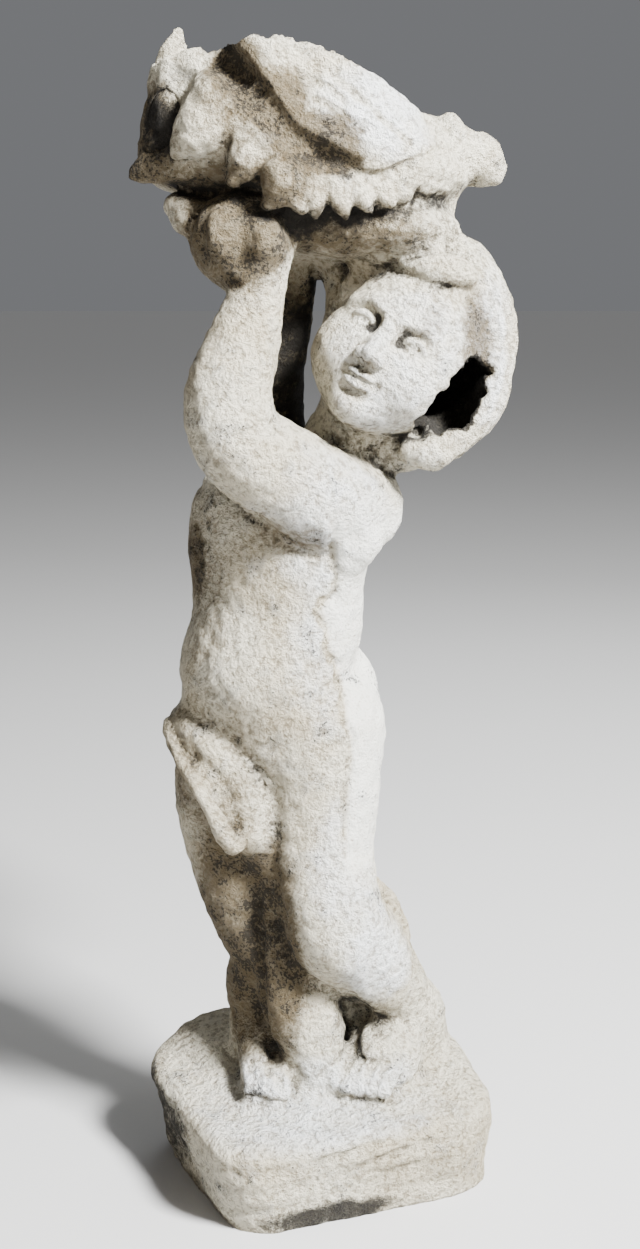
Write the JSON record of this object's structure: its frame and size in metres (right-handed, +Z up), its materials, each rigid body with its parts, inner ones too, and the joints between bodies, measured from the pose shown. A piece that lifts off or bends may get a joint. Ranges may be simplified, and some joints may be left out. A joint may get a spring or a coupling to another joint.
{
  "type": "cherub statue",
  "caption": "Cast stone garden cherub standing on a rough block and lifting a fluted conch shell basin above its tilted head, with a break in the side of the hollow head.",
  "frame": {"origin": "middle of the block's flat underside", "axes": "+Z up through the figure, X along the block's long side, -Y out of the block's front"},
  "size_m": [0.2168, 0.1615, 0.664],
  "materials": {
    "stone": "weathered cast stone, matt and sandy"
  },
  "bodies": {
    "root": {"cherub_statue": "stone"}
  },
  "joints": []
}
